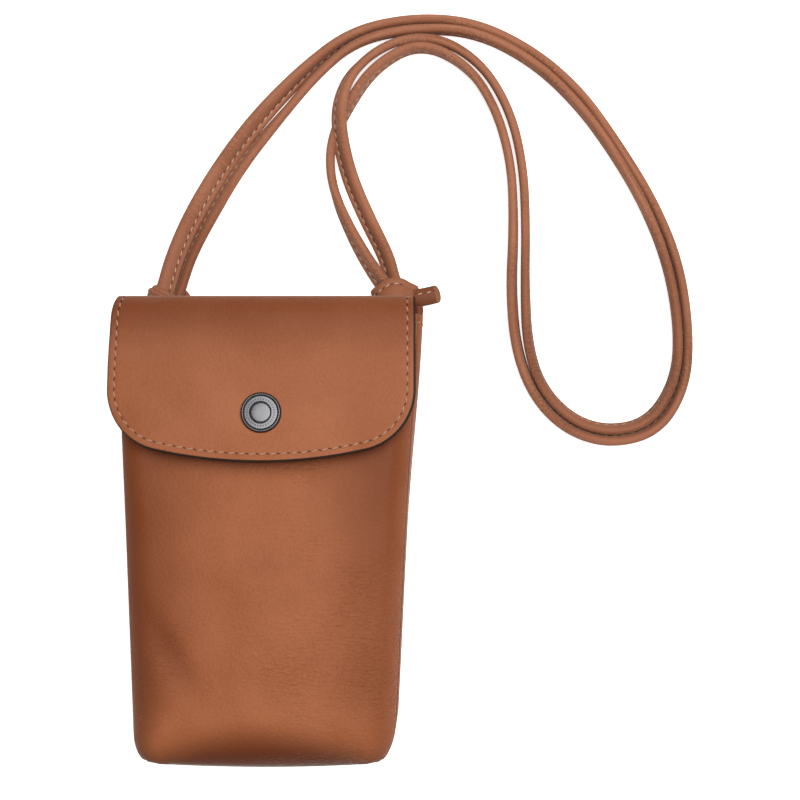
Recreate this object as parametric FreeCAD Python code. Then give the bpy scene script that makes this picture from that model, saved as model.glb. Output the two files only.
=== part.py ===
"""Leather phone pouch with a snap flap and a knotted, doubled lace strap.

The pouch lies on its back on a flat surface: +Z points out of its front, +Y from its base to the fold of
its flap, +X to the right as seen from the front. The origin is under the middle of the pouch. Lengths are
in millimetres. Each piece that is cut, sewn or pressed on by itself is one STEP file.
"""
import FreeCAD
import Part
import math
import os

from FreeCAD import Vector

# Materials: how thick each layer is.
leather = 1.5
lining_cloth = 0.6
facing_leather = 0.8
layer_gap = 0.7            # between the leather and the cloth behind it, room for the stud's patch
moving_gap = 0.3           # between the pouch and the flap's leather
overrun = 20.0             # how far cutting bodies pass what they cut

# The pouch's body, from the mouth past the waist to the shoulder where the base begins to round.
pouch_height = 170.0       # base to the outside of the flap's fold
mouth_drop = 6.5           # the mouth's front edge lies this far below the fold
waist_y = 0.0
mouth_half_width = 57.3
waist_half_width = 51.4
base_half_width = 47.6
mouth_lean = 4.3           # how much narrower the front is than the back, each side
waist_lean = 1.6
base_lean = 1.0
mouth_depth = 13.4
waist_depth = 23.5
base_depth = 28.0
mouth_front_radius = 5.0
waist_front_radius = 11.0
base_front_radius = 13.0
back_radius = 4.0
base_rounding = 10.0
least_radius = 0.6
rounding_angles = (0.0, 25.0, 50.0, 70.0, 90.0)
floor_sink = 0.1           # trimmed off so that the back is truly flat
front_seam_share = 0.62    # where the front panel meets the gussets, of the depth
back_seam_share = 0.2      # where the back panel meets the gussets, of the depth
lining_seam_share = 0.5
facing_width = 15.0

# The flap: two leathers with an interlining between them, from the end of the fold to the tip.
flap_margin = 3.3          # how much narrower the flap is than the mouth's back, each side
flap_length = 51.0
flap_corner_radius = 15.0
flap_tip_radius = 165.0
interlining = 0.4
flap_lining_leather = 0.8
flap_gap = 3.2             # between the front panel and the flap, taken up by the snap

# The snap: a cap, socket and ring spring on the flap, a stud and its post on the front panel.
snap_drop = 43.0           # from the outside of the fold to the snap's axis
cap_diameter = 14.4
cap_rim_height = 0.7
cap_ring_height = 1.7
cap_band_height = 1.3
cap_disc_height = 1.6
cap_ring_share = 0.94      # outer edge of the raised ring, of the cap's radius
cap_groove_share = 0.82    # inner edge of the raised ring
cap_disc_share = 0.5       # edge of the middle disc
cap_bevel = 0.3
snap_post_diameter = 4.0
snap_hole_clearance = 0.1
socket_diameter = 11.8
socket_height = 2.3
socket_roof = 0.4
socket_bore_diameter = 7.4
socket_groove_diameter = 8.8
socket_groove_height = 0.9
socket_lip = 0.4
spring_wire_diameter = 0.7
spring_diameter = 7.6
spring_split_angle = 20.0
stud_base_diameter = 10.0
stud_base_height = 0.6
stud_neck_diameter = 5.2
stud_neck_height = 0.5
stud_head_diameter = 6.2
stud_height = 2.6
stud_head_bevel = 0.5
post_flange_diameter = 9.0
post_flange_height = 0.5
post_reach = 1.2           # how far the post stands into the stud
patch_diameter = 18.0
patch_thickness = 0.5

# The strap: one leather lace, doubled, knotted to a short tab at each end of the mouth.
lace_diameter = 3.0
floor_clearance = 0.2
crossing_lift = 6.2
crossing_place = (27.0, 66.8)   # where the inner strand passes over the outer one: x, and past the fold
crossing_reach = 10.0      # points of the inner strand nearer than this to the crossing are lifted
run_share = 0.45           # of the shorter run, used up by an arc on each side of a point
left_knot_x = (-41.5, -31.5)
left_knot_diameter = 6.2
left_knot_out = 2.0        # from the fold's outside to the knot's middle
right_knot_x = (41.0, 53.0)
right_knot_diameter = 7.6
right_knot_out = 4.0
tail_end_x = 63.0
tail_width = 6.4
tail_thickness = 4.0
tail_drop = 2.4            # how far the tail's end lies nearer to the base than the knot
tail_lift = 2.2            # how far the tail lies over the knot's middle, clear of the tab below it
tab_diameter = 2.8
tab_height_share = 0.4     # where the tab leaves the mouth, of the mouth's depth
tab_bend_share = 0.4       # where it turns down, of the way from the mouth to the fold's outside

# The strands' routes on the table, from the left knot to the right one: x, and how far past the fold.
outer_route = [
    (-37.1, 3.8), (-34.2, 14.8), (-27.9, 30.6), (-16.9, 49.0), (-3.3, 67.4), (12.9, 84.4),
    (31.3, 97.3), (53.4, 103.4), (76.2, 101.3), (97.6, 90.6), (115.2, 75.9), (130.0, 55.7),
    (142.7, 35.1), (151.3, 12.6), (155.7, -12.0), (154.2, -32.6), (143.9, -48.8), (126.3, -54.4),
    (110.1, -49.2), (98.7, -36.7), (92.1, -19.4), (89.7, 2.7), (90.6, 25.5), (90.2, 48.3),
    (84.7, 68.9), (74.0, 84.7), (56.7, 93.9), (39.8, 85.5), (29.5, 68.9), (22.9, 54.9),
    (24.0, 39.1), (31.7, 21.8), (41.3, 6.4)]
inner_route = [
    (-32.3, 3.0), (-28.3, 14.8), (-20.6, 29.9), (-8.8, 47.6), (5.2, 65.2), (20.3, 83.3),
    (35.0, 95.4), (56.4, 100.0), (77.3, 96.5), (97.9, 86.2), (114.5, 71.1), (128.1, 53.1),
    (139.5, 33.2), (147.6, 11.1), (152.0, -12.0), (150.9, -30.4), (141.0, -45.2), (126.3, -50.3),
    (112.0, -45.1), (101.2, -32.3), (95.8, -16.5), (94.8, 4.5), (95.4, 26.6), (94.3, 48.3),
    (89.8, 68.6), (80.3, 86.6), (63.7, 95.8), (46.4, 95.4), (31.7, 85.5), (26.2, 73.0),
    (27.7, 60.5), (31.0, 45.4), (36.9, 30.6), (44.2, 15.2), (46.1, 5.6)]

# Places worked out from the sizes above.
base_y = -pouch_height / 2
top_y = pouch_height / 2
mouth_y = top_y - mouth_drop
shoulder_y = base_y + base_rounding
flap_half_width = mouth_half_width - flap_margin
flap_thickness = leather + interlining + flap_lining_leather
front_slope = math.atan2(waist_depth - mouth_depth, mouth_y - waist_y)
slope_sine = math.sin(front_slope)
slope_cosine = math.cos(front_slope)
stack = flap_gap + flap_thickness
roll_radius = (stack - mouth_drop * slope_sine + mouth_depth * slope_cosine) / (1 - slope_sine + slope_cosine)
roll_y = top_y - roll_radius
front_normal = Vector(0, slope_sine, slope_cosine)
flap_down = Vector(0, -slope_cosine, slope_sine)
flap_start = Vector(0, roll_y, roll_radius) + front_normal * (roll_radius - flap_thickness)

os.makedirs("parts", exist_ok=True)


def save(name, shape):
    """Writes one piece, and prints its solids and volume."""
    shape.exportStep("parts/" + name + ".step")
    state = "valid" if shape.isValid() else "BROKEN"
    print(name, len(shape.Solids), "solid", round(shape.Volume, 1), "mm3", state)


def one(shape):
    """The largest solid of a cut or common."""
    return max(shape.Solids, key=lambda solid: solid.Volume)


# Outlines: rounded polygons, and polygons moved inwards.

def line_crossing(point_a, way_a, point_b, way_b):
    """Where two straight lines in a plane meet; each is a point and a way, as pairs."""
    cross = way_a[0] * way_b[1] - way_a[1] * way_b[0]
    apart = (point_b[0] - point_a[0], point_b[1] - point_a[1])
    along = (apart[0] * way_b[1] - apart[1] * way_b[0]) / cross
    return (point_a[0] + way_a[0] * along, point_a[1] + way_a[1] * along)


def moved_in(corners, distance):
    """A counter-clockwise convex polygon with every side moved inwards."""
    sides = []
    for start, end in zip(corners, corners[1:] + corners[:1]):
        length = math.dist(start, end)
        way = ((end[0] - start[0]) / length, (end[1] - start[1]) / length)
        sides.append(((start[0] - way[1] * distance, start[1] + way[0] * distance), way))
    return [line_crossing(*sides[number - 1], *sides[number]) for number in range(len(sides))]


def rounded_wire(corners, radii, place):
    """A closed wire of lines and corner arcs. place turns a pair into a point in space."""
    joints = []
    for number, corner in enumerate(corners):
        before = Vector(*corners[number - 1]) - Vector(*corner)
        after = Vector(*corners[(number + 1) % len(corners)]) - Vector(*corner)
        before.normalize()
        after.normalize()
        half_angle = before.getAngle(after) / 2
        middle_way = before + after
        middle_way.normalize()
        point = Vector(*corner)
        radius = radii[number]
        tangent = radius / math.tan(half_angle)
        nearest = radius / math.sin(half_angle) - radius
        joints.append((point + before * tangent, point + middle_way * nearest, point + after * tangent))
    edges = []
    for number, (arc_start, arc_middle, arc_end) in enumerate(joints):
        next_start = joints[(number + 1) % len(joints)][0]
        arc_points = [place(spot.x, spot.y) for spot in (arc_start, arc_middle, arc_end)]
        edges.append(Part.Arc(*arc_points).toShape())
        edges.append(Part.LineSegment(arc_points[-1], place(next_start.x, next_start.y)).toShape())
    return Part.Wire(edges)


def side_prism(corners):
    """A body across the whole width, from an outline of (y, z) pairs."""
    across = mouth_half_width + overrun
    points = [Vector(-across, y, z) for y, z in corners]
    return Part.Face(Part.makePolygon(points + points[:1])).extrude(Vector(2 * across, 0, 0))


# The pouch's form: a row of rounded sections from the mouth to the base, moved in by any amount.

def section_corners(half_width, lean, depth):
    """Back left, back right, front right and front left corner of one section, as (x, z) pairs."""
    front_half = half_width - lean
    return [(-half_width, -floor_sink), (half_width, -floor_sink), (front_half, depth), (-front_half, depth)]


def section_wire(y, corners, front_radius, inset):
    """One rounded section across the pouch."""
    outer_radii = (back_radius, back_radius, front_radius, front_radius)
    radii = [max(radius - inset, least_radius) for radius in outer_radii]
    return rounded_wire(moved_in(corners, inset), radii, lambda x, z: Vector(x, y, z))


def pouch_form(inset):
    """The solid that the pouch fills, with every face moved in by inset; it runs on past the mouth."""
    mouth = section_corners(mouth_half_width, mouth_lean, mouth_depth)
    waist = section_corners(waist_half_width, waist_lean, waist_depth)
    base = section_corners(base_half_width, base_lean, base_depth)
    flare = overrun / (mouth_y - waist_y)
    past_mouth = [(far[0] + (far[0] - near[0]) * flare, far[1] + (far[1] - near[1]) * flare)
                  for far, near in zip(mouth, waist)]
    wires = [section_wire(mouth_y + overrun, past_mouth, mouth_front_radius, inset),
             section_wire(mouth_y, mouth, mouth_front_radius, inset),
             section_wire(waist_y, waist, waist_front_radius, inset)]
    end_radius = base_rounding - inset
    for angle in rounding_angles:
        turn = math.radians(angle)
        wires.append(section_wire(shoulder_y - end_radius * math.sin(turn), base, base_front_radius,
                                  inset + end_radius * (1 - math.cos(turn))))
    return Part.makeLoft(wires, True, True)


def mouth_line_y(z, below=0):
    """The mouth's edge slants from the back, just short of the fold's lining, to the front."""
    back_y = roll_y - moving_gap
    back_z = flap_thickness
    return back_y + (mouth_y - back_y) * (z - back_z) / (mouth_depth - back_z) - below


def past_mouth_line(below):
    """Everything beyond a line parallel to the mouth's edge."""
    low = -overrun
    high = base_depth + overrun
    far = mouth_y + overrun + overrun
    return side_prism([(mouth_line_y(low, below), low), (far, low),
                       (far, high), (mouth_line_y(high, below), high)])


def above_seam(share):
    """Everything in front of a seam that runs at a share of the depth, round to the base."""
    high = base_depth + overrun
    mouth_end = mouth_y + overrun
    flare = overrun / (mouth_y - waist_y)
    mouth_end_depth = mouth_depth - (waist_depth - mouth_depth) * flare
    return side_prism([(base_y - overrun, base_depth * share), (shoulder_y, base_depth * share),
                       (waist_y, waist_depth * share), (mouth_end, mouth_end_depth * share),
                       (mouth_end, high), (base_y - overrun, high)])


def side_box(x_low, x_high, y_low, y_high):
    """A tall box between two x and two y values."""
    height = base_depth + 2 * overrun
    return Part.makeBox(x_high - x_low, y_high - y_low, height, Vector(x_low, y_low, -overrun))


def on_front(x, y, height):
    """A point at a height over the upper, flat part of the front panel."""
    foot = Vector(x, y, mouth_depth + (mouth_y - y) * math.tan(front_slope))
    return foot + front_normal * height


snap_foot = on_front(0, top_y - snap_drop, 0)
snap_turn = FreeCAD.Rotation(Vector(0, 0, 1), front_normal)


def turned(profile):
    """A body turned about the snap's axis, from (radius, height over the front panel) pairs."""
    points = [Vector(radius, 0, height) for radius, height in profile]
    body = Part.Face(Part.makePolygon(points + points[:1])).revolve(Vector(0, 0, 0), Vector(0, 0, 1), 360)
    body.Placement = FreeCAD.Placement(snap_foot, snap_turn)
    return body


def snap_pin(diameter, low, high):
    """A round pin on the snap's axis."""
    return turned([(0, low), (diameter / 2, low), (diameter / 2, high), (0, high)])


# Leather panels of the body: one skin, parted along its seams.
side_reach = mouth_half_width + overrun
floor_box = side_box(-side_reach, side_reach, base_y - overrun, top_y + overrun)
floor_box.translate(Vector(0, 0, -base_depth - overrun))
outside = pouch_form(0).cut(floor_box)
skin = outside.cut(pouch_form(leather)).cut(past_mouth_line(0))
front_side = above_seam(front_seam_share)
between = skin.cut(front_side).common(above_seam(back_seam_share))
base_panel_half = base_half_width - base_rounding
base_zone = side_box(-base_panel_half, base_panel_half, base_y - overrun, shoulder_y)
sides = between.cut(base_zone)
post_hole = snap_pin(snap_post_diameter + snap_hole_clearance, -waist_depth / 2, waist_depth)
save("front_panel", one(skin.common(front_side)).cut(post_hole))
save("back_panel", one(skin.cut(above_seam(back_seam_share))))
save("left_gusset", one(sides.common(side_box(-side_reach, 0, base_y - overrun, top_y + overrun))))
save("right_gusset", one(sides.common(side_box(0, side_reach, base_y - overrun, top_y + overrun))))
save("base_panel", one(between.common(base_zone)))

# Cloth lining in two halves, and the leather facing round the mouth that it is sewn to.
lining_inset = leather + layer_gap
room = pouch_form(lining_inset)
lining_skin = room.cut(pouch_form(lining_inset + lining_cloth)).cut(past_mouth_line(facing_width))
lining_front_side = above_seam(lining_seam_share)
save("front_lining", one(lining_skin.common(lining_front_side)).cut(post_hole))
save("back_lining", one(lining_skin.cut(lining_front_side)))
facing_inset = leather + (layer_gap + lining_cloth - facing_leather) / 2
facing_ring = pouch_form(facing_inset).cut(pouch_form(facing_inset + facing_leather)).cut(past_mouth_line(0))
save("mouth_facing", one(facing_ring.common(past_mouth_line(facing_width))))

# The flap: layers of one outline, laid on the slant of the front panel.
corner_x = flap_half_width - flap_corner_radius
tip_centre = flap_length - flap_tip_radius
corner_drop = tip_centre + math.sqrt((flap_tip_radius - flap_corner_radius) ** 2 - corner_x ** 2)
corner_way = math.atan2(corner_drop - tip_centre, corner_x)
corner_shares = (0, 0.5, 1)


def flap_layer(low, thickness):
    """One layer of the flap, from a height over the flap's inner face."""
    def place(x, down):
        return flap_start + flap_down * down + front_normal * low + Vector(x, 0, 0)

    def corner_point(side, angle):
        return place(side * (corner_x + flap_corner_radius * math.cos(angle)),
                     corner_drop + flap_corner_radius * math.sin(angle))

    left_top = place(-flap_half_width, 0)
    right_top = place(flap_half_width, 0)
    right_arc = [corner_point(1, corner_way * share) for share in corner_shares]
    left_arc = [corner_point(-1, corner_way * share) for share in reversed(corner_shares)]
    edges = [Part.LineSegment(left_top, right_top), Part.LineSegment(right_top, right_arc[0]),
             Part.Arc(*right_arc), Part.Arc(right_arc[-1], place(0, flap_length), left_arc[0]),
             Part.Arc(*left_arc), Part.LineSegment(left_arc[-1], left_top)]
    outline = Part.Wire([edge.toShape() for edge in edges])
    return Part.Face(outline).extrude(front_normal * thickness).cut(post_hole)


save("flap_lining", flap_layer(0, flap_lining_leather))
save("flap_interlining", flap_layer(flap_lining_leather, interlining))
save("flap_leather", flap_layer(flap_lining_leather + interlining, leather))


# The fold: the flap's leather and lining roll over the mouth from the back panel, and bend as it opens.
fold_centre = Vector(-flap_half_width, roll_y, roll_radius)


def roll_layer(outer_radius, thickness):
    """A layer rolled about the fold's axis, from flat on the back to the slant of the front."""
    def spot(radius, angle):
        return fold_centre + Vector(0, radius * math.cos(angle), radius * math.sin(angle))

    start = -math.pi / 2
    end = math.pi / 2 - front_slope
    middle = (start + end) / 2
    inner_radius = outer_radius - thickness
    edges = [Part.Arc(spot(outer_radius, start), spot(outer_radius, middle), spot(outer_radius, end)),
             Part.LineSegment(spot(outer_radius, end), spot(inner_radius, end)),
             Part.Arc(spot(inner_radius, end), spot(inner_radius, middle), spot(inner_radius, start)),
             Part.LineSegment(spot(inner_radius, start), spot(outer_radius, start))]
    outline = Part.Wire([edge.toShape() for edge in edges])
    return Part.Face(outline).extrude(Vector(2 * flap_half_width, 0, 0))


save("fold_leather", roll_layer(roll_radius, leather))
save("fold_lining", roll_layer(roll_radius - leather - interlining, flap_lining_leather))

# The flap's half of the snap: cap with its post, socket, and the ring spring in the socket's groove.
cap_radius = cap_diameter / 2
cap_foot = flap_gap + flap_thickness
socket_top = flap_gap
socket_foot = flap_gap - socket_height
bore_radius = socket_bore_diameter / 2
groove_radius = socket_groove_diameter / 2
groove_foot = socket_foot + socket_lip
groove_top = groove_foot + socket_groove_height
roof_foot = socket_top - socket_roof
post_radius = snap_post_diameter / 2
roof_hole_radius = post_radius + snap_hole_clearance / 2
ring_outside = cap_radius * cap_ring_share
ring_inside = cap_radius * cap_groove_share
disc_radius = cap_radius * cap_disc_share
rim_top = cap_foot + cap_rim_height
ring_top = cap_foot + cap_ring_height
band_top = cap_foot + cap_band_height
disc_top = cap_foot + cap_disc_height
save("snap_cap", turned([
    (0, roof_foot), (post_radius, roof_foot), (post_radius, cap_foot), (cap_radius, cap_foot),
    (cap_radius, rim_top), (ring_outside, ring_top), (ring_inside, ring_top),
    (ring_inside - cap_bevel, band_top), (disc_radius + cap_bevel, band_top), (disc_radius, disc_top),
    (0, disc_top)]))
save("snap_socket", turned([
    (bore_radius, socket_foot), (socket_diameter / 2, socket_foot), (socket_diameter / 2, socket_top),
    (roof_hole_radius, socket_top), (roof_hole_radius, roof_foot), (bore_radius, roof_foot),
    (bore_radius, groove_top), (groove_radius, groove_top), (groove_radius, groove_foot),
    (bore_radius, groove_foot)]))
spring_middle = Vector(0, 0, (groove_foot + groove_top) / 2)
spring = Part.makeTorus(spring_diameter / 2, spring_wire_diameter / 2, spring_middle, Vector(0, 0, 1),
                        0, 360, 360 - spring_split_angle)
spring.Placement = FreeCAD.Placement(snap_foot, snap_turn)
save("snap_spring", spring)

# The pouch's half of the snap: stud outside, patch behind the leather, post pressed through from the inside.
stud_base_radius = stud_base_diameter / 2
neck_radius = stud_neck_diameter / 2
head_radius = stud_head_diameter / 2
neck_top = stud_base_height + stud_neck_height
post_bore_radius = post_radius + snap_hole_clearance / 2
post_bore_top = post_reach + snap_hole_clearance
save("snap_stud", turned([
    (post_bore_radius, 0), (stud_base_radius, 0), (stud_base_radius, stud_base_height),
    (neck_radius, stud_base_height), (neck_radius, neck_top), (head_radius, neck_top + stud_head_bevel),
    (head_radius, stud_height - stud_head_bevel), (head_radius - stud_head_bevel, stud_height),
    (0, stud_height), (0, post_bore_top), (post_bore_radius, post_bore_top)]))
patch_top = -leather - (layer_gap - patch_thickness) / 2
save("stud_patch", snap_pin(patch_diameter, patch_top - patch_thickness, patch_top).cut(post_hole))
flange_top = -leather - layer_gap - lining_cloth
flange_foot = flange_top - post_flange_height
flange_radius = post_flange_diameter / 2
save("snap_post", turned([
    (0, flange_foot), (flange_radius, flange_foot), (flange_radius, flange_top), (post_radius, flange_top),
    (post_radius, post_reach), (0, post_reach)]))


# The strap: tubes along straight runs joined by tangent arcs.

def tube(points, diameter, name):
    """A round tube along a route, with each corner's arc as large as its two runs allow."""
    edges = []
    radii = []
    last = points[0]
    for before, corner, after in zip(points, points[1:], points[2:]):
        back = before - corner
        ahead = after - corner
        reach = run_share * min(back.Length, ahead.Length)
        half_turn = (math.pi - back.getAngle(ahead)) / 2
        back.normalize()
        ahead.normalize()
        inwards = back + ahead
        inwards.normalize()
        radius = reach / math.tan(half_turn)
        arc_middle = corner + inwards * (radius / math.cos(half_turn) - radius)
        arc_start = corner + back * reach
        edges.append(Part.LineSegment(last, arc_start).toShape())
        last = corner + ahead * reach
        edges.append(Part.Arc(arc_start, arc_middle, last).toShape())
        radii.append(radius)
    edges.append(Part.LineSegment(last, points[-1]).toShape())
    route = Part.Wire(edges)
    way = points[1] - points[0]
    section = Part.Wire([Part.makeCircle(diameter / 2, points[0], way)])
    solid = route.makePipeShell([section], True, False)
    expected = math.pi * diameter ** 2 / 4 * route.Length
    print(name, "length", round(route.Length, 1), "least radius", round(min(radii), 1),
          "radii", [round(radius) for radius in radii], "volume share", round(solid.Volume / expected, 4))
    return one(solid)


lace_height = floor_clearance + lace_diameter / 2
outer_points = [Vector(x, top_y + out, lace_height) for x, out in outer_route]
inner_points = [Vector(x, top_y + out, lace_height) for x, out in inner_route]
crossing = Vector(crossing_place[0], top_y + crossing_place[1], lace_height)
for point in inner_points:
    if point.distanceToPoint(crossing) < crossing_reach:
        point.z += crossing_lift
save("strap_outer_strand", tube(outer_points, lace_diameter, "strap_outer_strand"))
save("strap_inner_strand", tube(inner_points, lace_diameter, "strap_inner_strand"))


def knot(x_range, y, diameter):
    """A knot as a bar with round ends, lying on the table beside the fold."""
    radius = diameter / 2
    height = radius + floor_clearance
    ends = [Vector(x, y, height) for x in x_range]
    bar = Part.makeCylinder(radius, x_range[1] - x_range[0], ends[0], Vector(1, 0, 0))
    return bar.fuse([Part.makeSphere(radius, end) for end in ends]).removeSplitter()


left_knot_y = top_y + left_knot_out
right_knot_y = top_y + right_knot_out
save("left_knot", one(knot(left_knot_x, left_knot_y, left_knot_diameter)))
save("right_knot", one(knot(right_knot_x, right_knot_y, right_knot_diameter)))
tail_height = right_knot_diameter / 2 + floor_clearance + tail_lift
tail_start = Vector(right_knot_x[1], right_knot_y, tail_height)
tail_end = Vector(tail_end_x, right_knot_y - tail_drop, tail_height)
tail_way = tail_end - tail_start
tail_section = Part.Ellipse(Vector(0, 0, 0), tail_width / 2, tail_thickness / 2).toShape()
tail_turn = FreeCAD.Rotation(Vector(0, 1, 0), Vector(0, 0, 1), tail_way, "ZXY")
tail_section.Placement = FreeCAD.Placement(tail_start, tail_turn)
save("strap_tail", Part.Face(Part.Wire([tail_section])).extrude(tail_way))

# Tabs: rolled leather, sewn into the hem at each end of the mouth, then down past the fold to the knots.
tab_height = mouth_depth * tab_height_share
tab_root_y = mouth_line_y(tab_height)
tab_root_x = mouth_half_width - mouth_lean * tab_height_share - leather / 2
tab_floor = floor_clearance + tab_diameter / 2
tab_bend_y = mouth_y + mouth_drop * tab_bend_share
left_tab = [Vector(-tab_root_x, tab_root_y, tab_height), Vector(-mouth_half_width, tab_bend_y, tab_height),
            Vector(-mouth_half_width, top_y, tab_floor),
            Vector(-flap_half_width + tab_diameter, top_y, tab_floor),
            Vector(left_knot_x[0], left_knot_y, left_knot_diameter / 2 + floor_clearance)]
right_tab = [Vector(tab_root_x, tab_root_y, tab_height), Vector(mouth_half_width, tab_bend_y, tab_height),
             Vector(mouth_half_width, top_y, tab_floor), Vector(right_knot_x[1], right_knot_y, tab_floor)]
save("left_strap_tab", tube(left_tab, tab_diameter, "left_strap_tab"))
save("right_strap_tab", tube(right_tab, tab_diameter, "right_strap_tab"))
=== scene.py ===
"""Looks of a leather phone pouch with a snap flap and a doubled lace strap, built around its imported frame."""
import math

import bmesh
import bpy
import numpy as np
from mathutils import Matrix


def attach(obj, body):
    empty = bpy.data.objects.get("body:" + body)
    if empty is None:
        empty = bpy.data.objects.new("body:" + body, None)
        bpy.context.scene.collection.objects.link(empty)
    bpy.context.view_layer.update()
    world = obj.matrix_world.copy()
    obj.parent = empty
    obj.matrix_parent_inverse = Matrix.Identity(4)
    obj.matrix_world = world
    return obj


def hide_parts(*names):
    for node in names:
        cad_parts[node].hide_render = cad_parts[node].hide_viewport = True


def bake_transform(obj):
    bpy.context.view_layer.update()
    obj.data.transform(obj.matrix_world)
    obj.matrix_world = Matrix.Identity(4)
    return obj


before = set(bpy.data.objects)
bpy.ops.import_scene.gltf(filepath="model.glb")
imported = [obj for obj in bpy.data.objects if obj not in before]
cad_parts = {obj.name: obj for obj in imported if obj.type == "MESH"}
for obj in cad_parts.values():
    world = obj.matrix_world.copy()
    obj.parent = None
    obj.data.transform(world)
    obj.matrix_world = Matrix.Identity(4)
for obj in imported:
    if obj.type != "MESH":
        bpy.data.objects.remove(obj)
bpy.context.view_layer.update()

# The table and the light: a plain white sheet, faintly lit from below, under a wide softbox that hangs a
# little to the right of the pouch and past its flap, in a dim room. The camera looks straight down on it
# from half a metre.
mm = 0.001
scene = bpy.context.scene
scene.view_settings.view_transform = "Standard"


def new_material(name, inputs):
    """A material, its node tree and its shader, with values set on the shader's own inputs."""
    material = bpy.data.materials.new(name)
    material.use_nodes = True
    shader = material.node_tree.nodes["Principled BSDF"]
    for key, value in inputs.items():
        shader.inputs[key].default_value = value
    return material, material.node_tree, shader


floor_reach = 3.0
floor_height = -0.0003
corner_ways = ((-1, -1), (1, -1), (1, 1), (-1, 1))
floor_corners = [(floor_reach * x, floor_reach * y, floor_height) for x, y in corner_ways]
floor_mesh = bpy.data.meshes.new("floor")
floor_mesh.from_pydata(floor_corners, [], [(0, 1, 2, 3)])
floor_white = new_material("floor_white", {
    "Base Color": (0.93, 0.93, 0.93, 1), "Roughness": 0.9, "Specular IOR Level": 0.1,
    "Emission Color": (1, 1, 1, 1), "Emission Strength": 0.6})[0]
floor_mesh.materials.append(floor_white)
floor = bpy.data.objects.new("floor", floor_mesh)
scene.collection.objects.link(floor)
# The sheet lights the pouch from below but isn't mirrored in the leather's gloss.
floor.visible_glossy = False

world = bpy.data.worlds.new("room")
scene.world = world
world.use_nodes = True
background = world.node_tree.nodes["Background"]
background.inputs["Color"].default_value = (1.0, 0.99, 0.98, 1)
background.inputs["Strength"].default_value = 0.10

softbox_place = (0.28, 0.26, 1.15)
softbox_aim = (0.04, 0.04, 0.0)
softbox_light = bpy.data.lights.new("overhead_softbox", "AREA")
softbox_light.shape = "SQUARE"
softbox_light.size = 1.15
softbox_light.energy = 24.0
softbox = bpy.data.objects.new("overhead_softbox", softbox_light)
softbox.location = softbox_place
aim_x, aim_y, aim_z = np.array(softbox_aim) - np.array(softbox_place)
softbox.rotation_euler = (math.atan2(math.hypot(aim_x, aim_y), -aim_z), 0, math.atan2(-aim_x, aim_y))
scene.collection.objects.link(softbox)

camera_data = bpy.data.cameras.new("camera")
camera_data.lens = 60.8
camera_data.sensor_width = 36.0
camera_data.clip_start = 0.01
camera = bpy.data.objects.new("camera", camera_data)
camera.location = (0.049, 0.0472, 0.5)
scene.collection.objects.link(camera)
scene.camera = camera

# The body's outer leather: front, back, two side gussets and a base strip, cut from smooth cognac hide,
# sewn edge to edge with the seams turned in, and pulled into a boxed base whose front rolls under in an arch.
# Sizes are in millimetres, and those given three at a time hold at the mouth, the waist and the base.
pouch_height = 170.0
base_y = -pouch_height / 2
fold_y = pouch_height / 2
mouth_y = 78.5
shoulder_y = -75.0
leather = 1.5
half_widths = (57.3, 51.4, 47.6)
leans = (4.3, 1.6, 1.0)
depths = (13.4, 23.5, 28.0)
front_radii = (5.0, 11.0, 13.0)
back_radius = 4.0
size_heights = (-160.0, shoulder_y, 0.0, mouth_y, 160.0)
easing = np.linspace(-24.0, 24.0, 13)


def eased_size(y, sizes):
    """A size of the body at a height, eased where its upper and lower sides meet at the waist."""
    mouth, waist, base = sizes
    low = base + (base - waist) * (size_heights[0] - shoulder_y) / shoulder_y
    high = mouth + (mouth - waist) * (size_heights[4] - mouth_y) / mouth_y
    return np.interp(y + easing, size_heights, (low, base, waist, mouth, high)).mean()


def eased_step(value, start, end):
    """0 before start, 1 after end, and smooth between."""
    share = np.clip((value - start) / (end - start), 0, 1)
    return share * share * (3 - 2 * share)


def unit(ways):
    """The same ways, each of length one."""
    return ways / np.linalg.norm(ways, axis=-1, keepdims=True)


def lengths_of(points):
    """The length along a line at each of its points."""
    return np.concatenate([[0], np.cumsum(np.linalg.norm(np.diff(points, axis=0), axis=1))])


def corner_arc(corner, way_in, way_out, radius):
    """Points along the rounded corner of an outline that turns left there."""
    turn = math.acos(np.clip(np.dot(way_in, way_out), -1, 1))
    left = np.array([-way_in[1], way_in[0]])
    start = corner - way_in * radius * math.tan(turn / 2)
    angles = np.linspace(0, turn, 25)[:, None]
    return start + left * radius + radius * (np.sin(angles) * way_in - np.cos(angles) * left)


def half_outline(y):
    """The right half of the body's outline at a height, from the back's middle to the front's."""
    half_width = eased_size(y, half_widths)
    lean = eased_size(y, leans)
    depth = eased_size(y, depths)
    front_radius = eased_size(y, front_radii)
    back_corner = np.array([half_width, 0.0])
    front_corner = np.array([half_width - lean, depth])
    across = np.array([1.0, 0.0])
    upward = unit(front_corner - back_corner)
    points = np.vstack([[[0.0, 0.0]], corner_arc(back_corner, across, upward, back_radius),
                        corner_arc(front_corner, upward, -across, front_radius), [[0.0, depth]]])
    lengths = lengths_of(points)
    fine = np.linspace(0, lengths[-1], 700)
    x = np.interp(fine, lengths, points[:, 0])
    z = np.interp(fine, lengths, points[:, 1])
    crown = 3.0 * eased_step(-y, -36.0, 15.0)
    bulge = np.clip(1 - (x / (half_width - lean)) ** 2, 0, 1) - 0.45
    z = z + crown * eased_step(z, depth * 0.55, depth) * bulge
    return fine, x, z, depth


front_share = 0.62
back_share = 0.2
half_steps = 1 - np.linspace(1, 0, 72) ** 1.6
side_steps = (1 - np.cos(np.linspace(0, math.pi, 23))) / 2
table_y = np.arange(-84.0, 81.0, 2.0)


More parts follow.
